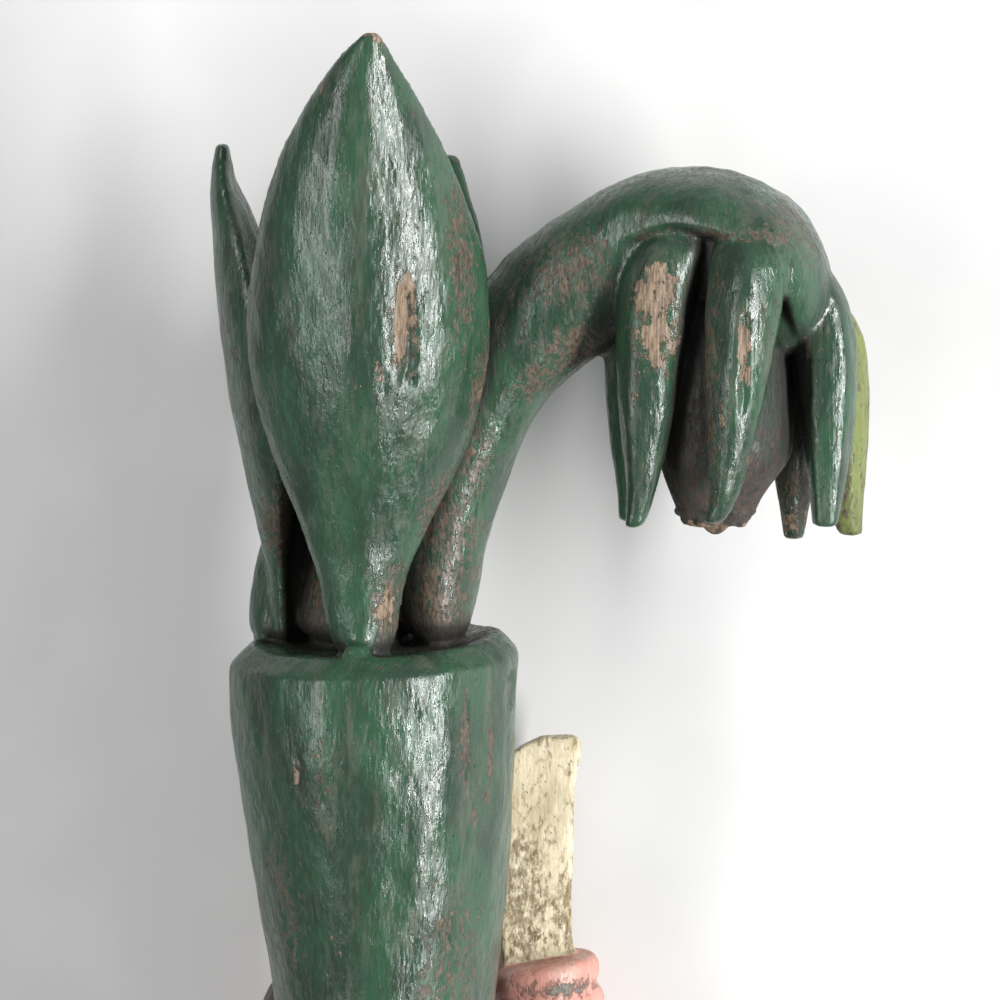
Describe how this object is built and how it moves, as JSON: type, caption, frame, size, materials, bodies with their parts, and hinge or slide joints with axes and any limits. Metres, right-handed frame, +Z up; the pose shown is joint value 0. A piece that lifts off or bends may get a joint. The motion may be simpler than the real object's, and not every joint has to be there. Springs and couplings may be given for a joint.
{
  "type": "linguist staff",
  "caption": "Ceremonial staff in carved, painted wood: a plantain tree with an arched stalk of fruit and a farmer raising a cutlass, on a long straight shaft, lying on its side.",
  "frame": {"origin": "middle of the underside of the whole staff's box as it lies", "axes": "+X along the staff towards the finial, +Z up, the bunch towards -Y"},
  "size_m": [1.4958, 0.1638, 0.1048],
  "materials": {
    "finial_enamel": "glossy green enamel on carved wood, chipped and worn to brown",
    "upper_shaft_enamel": "glossy green enamel on turned wood, worn on the mouldings",
    "lower_shaft_enamel": "glossy green enamel on turned wood, worn bare at the foot"
  },
  "bodies": {
    "root": {"finial": "finial_enamel", "upper_shaft": "upper_shaft_enamel", "lower_shaft": "lower_shaft_enamel"}
  },
  "joints": []
}
